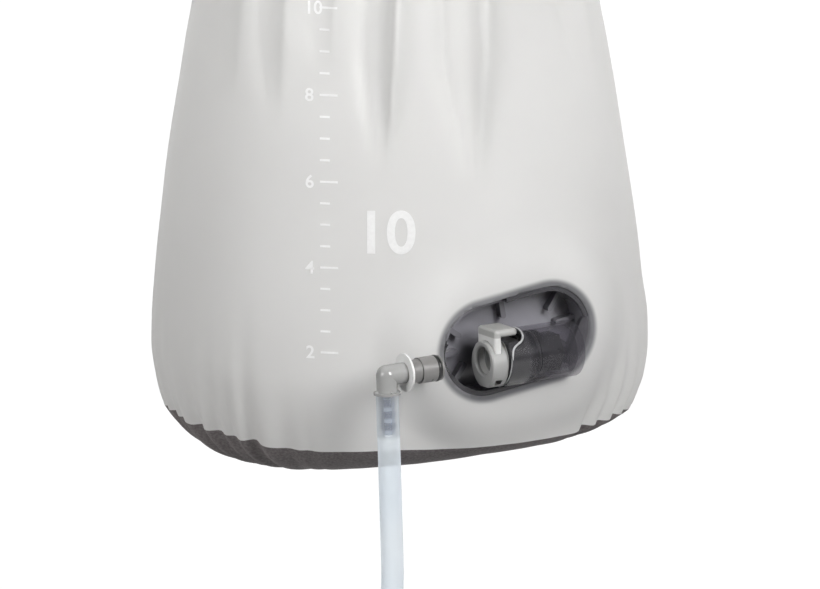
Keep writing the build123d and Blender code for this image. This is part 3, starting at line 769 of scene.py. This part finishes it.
def smokyPlastic(choice):
    # thin walls let light through; the floor's paler colour is painted light that comes through it from the
    # bag, and the darker walls, ribs and rim, seen edge on, are painted shade
    material, tree, out = startMaterial("smokyPlastic")
    portZ = zonePoint(tree, portFrame)[2]
    inCoupler = zonePoint(tree, couplerFrame)
    floor = mathNode(tree, "SUBTRACT", 1.0, softStep(tree, portZ, -0.0139, -0.0136))
    squares = [mathNode(tree, "MULTIPLY", inCoupler[i], inCoupler[i]) for i in (0, 1)]
    axle = mathNode(tree, "SQRT", mathNode(tree, "ADD", *squares))
    barrel = mathNode(tree, "SUBTRACT", 1.0, softStep(tree, axle, 0.0122, 0.0124))
    nearMouth = softStep(tree, inCoupler[2], -0.0185, -0.0150)
    rim = softStep(tree, portZ, -choice["rimDepth"] - 0.0001, -choice["rimDepth"] + 0.0001)
    # the paler floor is painted light; the darker walls, ribs and rim are painted shade
    shade = mixTint(tree, floor, choice["wall"], choice["floor"])
    shade = mixTint(tree, rim, shade, choice["rim"])
    barrelShade = mixTint(tree, nearMouth, choice["barrel"], choice["shroud"])
    shade = mixTint(tree, barrel, shade, barrelShade)
    cloud = rampOf(tree, noiseOf(tree, 60, 3), [(0.3, (0.86, 0.86, 0.86)), (0.7, (1, 1, 1))])
    tone = addNode(tree, "Mix", data_type="RGBA", blend_type="MULTIPLY")
    tone.inputs["Factor"].default_value = 1.0
    tree.links.new(shade, tone.inputs[6])
    tree.links.new(cloud, tone.inputs[7])
    shader = addNode(tree, "BsdfPrincipled", Roughness=choice["roughness"])
    tree.links.new(tone.outputs[2], shader.inputs["Base Color"])
    through = addNode(tree, "BsdfTransparent", Color=(*choice["clear"], 1))
    share = mathNode(tree, "MULTIPLY_ADD", nearMouth, 0.72, 0.13, clamp=True)
    share = mathNode(tree, "MULTIPLY", share, barrel)
    solid = mathNode(tree, "MULTIPLY", mathNode(tree, "SUBTRACT", 1.0, barrel), 0.80)
    share = mathNode(tree, "ADD", share, solid, clamp=True)
    facing = addNode(tree, "LayerWeight", Blend=0.25).outputs["Facing"]
    share = mathNode(tree, "MULTIPLY_ADD", facing, 0.22, share, clamp=True)
    mix = addNode(tree, "MixShader")
    tree.links.new(share, mix.inputs[0])
    tree.links.new(through.outputs[0], mix.inputs[1])
    tree.links.new(shader.outputs[0], mix.inputs[2])
    tree.links.new(mix.outputs[0], out.inputs["Surface"])
    return material


smoky = smokyPlastic(smokyChoices)
collarEnd = -0.0071  # behind this the collar's tube is painted dark: painted shade inside the shroud
padFoot = 0.0104  # above this the latch is its pale pad
hoseGrip = -0.0086  # below this the elbow is inside the hose, painted darker and bluer as shade under the hose wall
barbStart, barbPitch = 0.0098, 0.00487
# the collar's tube behind collarEnd is painted near black as shade inside the shroud
collarGrey = zonedPlastic(
    "collarGrey", couplerFrame, 2, collarEnd, (0.30, 0.30, 0.295), (0.02, 0.02, 0.021), sign=-1
)
latchGrey = zonedPlastic("latchGrey", couplerFrame, 1, padFoot, (0.60, 0.60, 0.59), (0.36, 0.36, 0.35))
paleGrey = mouldedPlastic("paleGrey", (0.50, 0.50, 0.49), 0.36, subsurface=0.2)
blackPlastic = mouldedPlastic("blackPlastic", (0.005, 0.005, 0.0055), 0.25)
plugGrey = mouldedPlastic("plugGrey", (0.20, 0.195, 0.19), 0.3)
whitePlastic = mouldedPlastic("whitePlastic", (0.72, 0.72, 0.71), 0.3, subsurface=0.3)
# inside the hose the elbow is painted dark blue: painted shade under the hose wall, banded by the barbs
milkyPlastic = zonedPlastic(
    "milkyPlastic", plugFrame, 1, hoseGrip, (0.31, 0.31, 0.305), (0.10, 0.115, 0.17), 0.12, -1
)
bandBarbs(milkyPlastic.node_tree, barbStart, barbPitch)
sealRubber = mouldedPlastic("sealRubber", (0.012, 0.012, 0.012), 0.3)
buckleBlack = mouldedPlastic("buckleBlack", (0.02, 0.02, 0.022), 0.5, grain=0.12)


def springSteel():
    material, tree, out = startMaterial("springSteel")
    shader = addNode(tree, "BsdfPrincipled", Metallic=1.0, Roughness=0.25)
    colour = rampOf(tree, noiseOf(tree, 400, 2), [(0.3, (0.5, 0.5, 0.5)), (0.7, (0.65, 0.65, 0.64))])
    tree.links.new(colour, shader.inputs["Base Color"])
    tree.links.new(shader.outputs[0], out.inputs["Surface"])
    return material


def webbingMaterial(name, colour):
    material, tree, out = startMaterial(name)
    shader = addNode(tree, "BsdfPrincipled", Roughness=0.8)
    point = objectPoint(tree)
    wave = addNode(tree, "TexWave", Scale=260.0, Distortion=1.5)
    tree.links.new(point, wave.inputs["Vector"])
    tint = rampOf(tree, wave.outputs["Fac"], [(0.2, [c * 0.6 for c in colour]), (0.8, colour)])
    tree.links.new(tint, shader.inputs["Base Color"])
    tree.links.new(bumpOf(tree, wave.outputs["Fac"], 0.4, 0.0004), shader.inputs["Normal"])
    tree.links.new(shader.outputs[0], out.inputs["Surface"])
    return material


steel = springSteel()
darkWebbing = webbingMaterial("darkWebbing", (0.035, 0.035, 0.038))

finishOf = {
    "rolled_mouth": rolledClothMaterial(),
    "stiffener_strip": whitePlastic,
    "webbing_tab_left": darkWebbing,
    "webbing_tab_right": darkWebbing,
    "buckle_socket": buckleBlack,
    "buckle_plug": buckleBlack,
    "buckle_prong_front": buckleBlack,
    "buckle_prong_back": buckleBlack,
    "port_housing": smoky,
    "coupler_collar": collarGrey,
    "coupler_body": blackPlastic,
    "coupler_tail": blackPlastic,
    "coupler_seal": sealRubber,
    "thumb_latch": latchGrey,
    "latch_spring": steel,
    "valve_poppet": paleGrey,
    "valve_seal": sealRubber,
    "valve_spring": steel,
    "plug_insert": plugGrey,
    "plug_o_ring": sealRubber,
    "plug_flange": whitePlastic,
    "elbow": milkyPlastic,
    "coil_tie": darkWebbing,
    "hose_end_plug": plugGrey,
    "hose_end_o_ring": sealRubber,
}
for nodeName, finish in finishOf.items():
    if nodeName in nodes:
        paint(nodeName, finish)
print("pieces finished")

# springs of the valve and the latch, copied in steel onto the bag; with each: its joint, its axis, place of
# the fixed end, and share kept
springChoices = {
    "valve_spring": {
        "name": "valveSpring",
        "joint": "valve_lift",
        "axis": mouthOut,
        "end": (0, 0, -0.02448),
        "keep": 0.07,
    },
    "latch_spring": {
        "name": "latchSpring",
        "joint": "latch_press",
        "axis": latchUp,
        "end": (0, -0.01106, -0.0034),
        "keep": 0.41,
    },
}
for nodeName, choice in springChoices.items():
    if nodeName not in nodes:
        continue
    spring = newObject(choice["name"], nodes[nodeName].data.copy())
    spring.matrix_world = nodes[nodeName].matrix_world.copy()
    spring.data.materials.clear()
    spring.data.materials.append(steel)
    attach(spring, "bag")
    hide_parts(nodeName)
    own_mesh(spring)

# the shroud's moulded edge runs up the barrel's front and round the latch's pad, as a thin bead whose pale
# grey is a painted highlight
rimChoices = {
    "radius": 0.0119,
    "wire": 0.00048,
    "half": [(-92, -7.9), (-60, -7.8), (-25, -7.8), (8, -7.9), (24, -8.4), (33, -10.0), (38, -12.4),
             (45, -14.8), (58, -16.2), (76, -16.6), (90, -16.7)],
}


def makeShroudRim(choice):
    path = choice["half"] + [(180 - angle, z) for angle, z in choice["half"][-2::-1]]
    curve = bpy.data.curves.new("shroudRim", "CURVE")
    curve.dimensions = "3D"
    curve.bevel_depth = choice["wire"]
    curve.bevel_resolution = 3
    curve.resolution_u = 8
    spline = curve.splines.new("NURBS")
    spline.points.add(len(path) - 1)
    for knot, (angle, z) in zip(spline.points, path):
        turned = math.radians(angle)
        place = Vector((math.cos(turned), math.sin(turned), 0)) * choice["radius"]
        place.z = z / 1000
        knot.co = (*(couplerFrame @ place), 1)
    spline.order_u = 4
    spline.use_endpoint_u = True
    rim = bpy.data.objects.new("shroudRim", curve)
    bpy.context.collection.objects.link(rim)
    # pale grey bead: a painted highlight on the smoky edge
    curve.materials.append(mouldedPlastic("rimHighlight", (0.42, 0.42, 0.43), 0.22))
    return rim


shroudRim = makeShroudRim(rimChoices)
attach(shroudRim, "bag")


# printed capacity marks: a ladder of ticks with its numbers, and the full capacity beside it
printChoices = {
    "ladderSide": -0.0330,
    "ladderLow": 0.0560,
    "ladderHigh": 0.2000,
    "ticks": 16,
    "tickHeight": 0.0009,
    "longTick": 0.0075,
    "shortTick": 0.0042,
    "numberSize": 0.0075,
    "capacitySize": 0.0250,
    "capacityAt": (-0.0180, 0.0990),
    "above": 0.00035,
}


def textMesh(words, size):
    curve = bpy.data.curves.new("words", "FONT")
    curve.body = words
    curve.size = size
    curve.offset = size * 0.018
    thing = bpy.data.objects.new("words", curve)
    bpy.context.collection.objects.link(thing)
    mesh = evaluatedMesh(thing)
    bpy.data.objects.remove(thing)
    shape = bmesh.new()
    shape.from_mesh(mesh)
    return shape


def barMesh(width, height):
    shape = bmesh.new()
    bmesh.ops.create_grid(shape, x_segments=6, y_segments=1, size=0.5)
    bmesh.ops.scale(shape, vec=(width, height, 1), verts=shape.verts)
    bmesh.ops.translate(shape, vec=(width / 2, 0, 0), verts=shape.verts)
    return shape


def makePrint(choice, wall):
    corners = [v.co for v in wall.data.vertices]
    tree = BVHTree.FromPolygons(corners, [p.vertices for p in wall.data.polygons])
    whole = bmesh.new()
    pieces = []
    rise = (choice["ladderHigh"] - choice["ladderLow"]) / choice["ticks"]
    for i in range(choice["ticks"] + 1):
        isLong = i % 4 == 0
        width = choice["longTick"] if isLong else choice["shortTick"]
        level = choice["ladderLow"] + rise * i
        pieces.append((barMesh(width, choice["tickHeight"]), choice["ladderSide"], level))
        if isLong:
            words = textMesh(str(2 + i // 2), choice["numberSize"])
            at = choice["ladderSide"] - 0.0062
            pieces.append((words, at, level - choice["numberSize"] * 0.35))
    pieces.append((textMesh("10", choice["capacitySize"]), *choice["capacityAt"]))
    scratch = bpy.data.meshes.new("scratch")
    for shape, side, level in pieces:
        bmesh.ops.translate(shape, vec=(side, level, 0), verts=shape.verts)
        shape.to_mesh(scratch)
        whole.from_mesh(scratch)
        shape.free()
    for vertex in whole.verts:
        origin = Vector((vertex.co.x, -1.0, vertex.co.y - hangHeight))
        hit = tree.ray_cast(origin, Vector((0, 1, 0)))
        if hit[0]:
            vertex.co = hit[0] - Vector((0, choice["above"], 0))
    mesh = bpy.data.meshes.new("capacityPrint")
    whole.to_mesh(mesh)
    whole.free()
    material, nodeTree, out = startMaterial("whiteInk")
    shader = addNode(nodeTree, "BsdfPrincipled", Roughness=0.5)
    inkTones = [(0.35, (0.86, 0.86, 0.86)), (0.65, (0.95, 0.95, 0.95))]
    tone = rampOf(nodeTree, noiseOf(nodeTree, 700, 3), inkTones)
    nodeTree.links.new(tone, shader.inputs["Base Color"])
    glow = addNode(nodeTree, "BsdfTranslucent", Color=(0.95, 0.95, 0.95, 1))
    both = addNode(nodeTree, "MixShader", Fac=0.45)
    nodeTree.links.new(shader.outputs[0], both.inputs[1])
    nodeTree.links.new(glow.outputs[0], both.inputs[2])
    nodeTree.links.new(both.outputs[0], out.inputs["Surface"])
    return newObject("capacityPrint", mesh, material)


stitchChoices = {
    "count": 8,
    "pitch": 0.0032,
    "long": 0.0022,
    "thick": 0.00032,
    "row": 0.0075,
    "start": 44.5,
    "lift": 0.0719,
}


def makeStitches(choice):
    # two rows of thread on each webbing tab, where it laps onto the roll
    whole = bmesh.new()
    lift = choice["lift"]
    for side in (-1, 1):
        for row in (-1, 1):
            for i in range(choice["count"]):
                turned = math.radians(choice["start"]) + i * choice["pitch"] / lift
                stitch = bmesh.ops.create_uvsphere(whole, u_segments=8, v_segments=6, radius=0.5)["verts"]
                size = (choice["long"], choice["thick"] * 1.6, choice["thick"])
                bmesh.ops.scale(whole, vec=size, verts=stitch)
                spin = Matrix.Rotation(side * turned, 4, "Y")
                place = spin @ Matrix.Translation((0, row * choice["row"], lift))
                bmesh.ops.transform(whole, matrix=place, verts=stitch)
    centre = Vector((0, 0, rollPlace["level"] - hangHeight))
    bmesh.ops.translate(whole, vec=centre, verts=whole.verts)
    mesh = bpy.data.meshes.new("tabStitches")
    whole.to_mesh(mesh)
    whole.free()
    mesh.polygons.foreach_set("use_smooth", [True] * len(mesh.polygons))
    return newObject("tabStitches", mesh, webbingMaterial("thread", (0.20, 0.20, 0.21)))


tabStitches = makeStitches(stitchChoices)
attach(tabStitches, "bag")

capacityPrint = makePrint(printChoices, bag)
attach(capacityPrint, "bag")
print("marks printed")


# light, floor and backdrop
studioChoices = {
    "zenith": 0.95,
    "nadir": 0.40,
    "key": 34.0,
    "fill": 17.0,
    "top": 7.0,
    "back": 10.0,
    "inner": 0.11,
    "white": 1.05,
    "floorDrop": 0.25,
}


def addPanelLight(name, place, aim, size, power):
    data = bpy.data.lights.new(name, "AREA")
    data.shape = "RECTANGLE"
    data.size, data.size_y = size
    data.energy = power
    lamp = bpy.data.objects.new(name, data)
    lamp.location = place
    lamp.rotation_euler = (Vector(aim) - Vector(place)).to_track_quat("-Z", "Y").to_euler()
    bpy.context.collection.objects.link(lamp)


def whiteStage(name, corners, strength, glossy=True):
    # evenly bright, and it lights nothing but reflections
    material, tree, out = startMaterial(name)
    glow = addNode(tree, "Emission", Strength=strength)
    tone = rampOf(tree, noiseOf(tree, 2, 1), [(0.3, (0.985, 0.985, 0.985)), (0.7, (1, 1, 1))])
    tree.links.new(tone, glow.inputs["Color"])
    tree.links.new(glow.outputs[0], out.inputs["Surface"])
    thing = newObject(name, meshFrom(name, corners, [(0, 1, 2, 3)], False), material)
    thing.visible_diffuse = False
    thing.visible_shadow = False
    thing.visible_glossy = glossy


def buildStudio(choice):
    world = bpy.data.worlds.new("studio")
    world.use_nodes = True
    tree = world.node_tree
    background = tree.nodes["Background"]
    split = addNode(tree, "SeparateXYZ")
    tree.links.new(addNode(tree, "TexCoord").outputs["Generated"], split.inputs[0])
    height = addNode(tree, "MapRange")
    height.inputs["From Min"].default_value = -1
    height.inputs["To Min"].default_value = choice["nadir"]
    height.inputs["To Max"].default_value = choice["zenith"]
    tree.links.new(split.outputs[2], height.inputs["Value"])
    tree.links.new(height.outputs[0], background.inputs["Strength"])
    bpy.context.scene.world = world
    bpy.context.scene.view_settings.view_transform = "Standard"
    bpy.context.scene.cycles.transparent_max_bounces = 40
    middle = (0, 0, -0.43)
    addPanelLight("keyLight", (1.0, -1.2, 0.35), middle, (0.7, 0.9), choice["key"])
    addPanelLight("fillLight", (-1.2, -1.1, 0.1), middle, (0.9, 0.9), choice["fill"])
    glow = bpy.data.lights.new("waterGlow", "POINT")  # light that the full bag scatters inside itself
    glow.energy = choice["inner"]
    glow.shadow_soft_size = 0.07
    inner = bpy.data.objects.new("waterGlow", glow)
    inner.location = (0, 0.01, -0.39)
    bpy.context.collection.objects.link(inner)
    addPanelLight("backLight", (0.5, 1.5, 0.2), middle, (1.0, 1.0), choice["back"])
    addPanelLight("topLight", (-0.2, -0.6, 1.3), middle, (0.8, 0.8), choice["top"])
    low, far = cadBox[0][2] - choice["floorDrop"], 6
    ground = [(-far, -far, low), (far, -far, low), (far, far, low), (-far, far, low)]
    whiteStage("floor", ground, choice["white"])
    for name, turned in (("backdrop", 0), ("leftWall", 90), ("nearWall", 180), ("rightWall", 270)):
        spin = Matrix.Rotation(math.radians(turned), 3, "Z")
        corners = [(-far, far, low), (far, far, low), (far, far, far), (-far, far, far)]
        whiteStage(name, [spin @ Vector(corner) for corner in corners], choice["white"], turned == 0)


buildStudio(studioChoices)
print("studio lit")
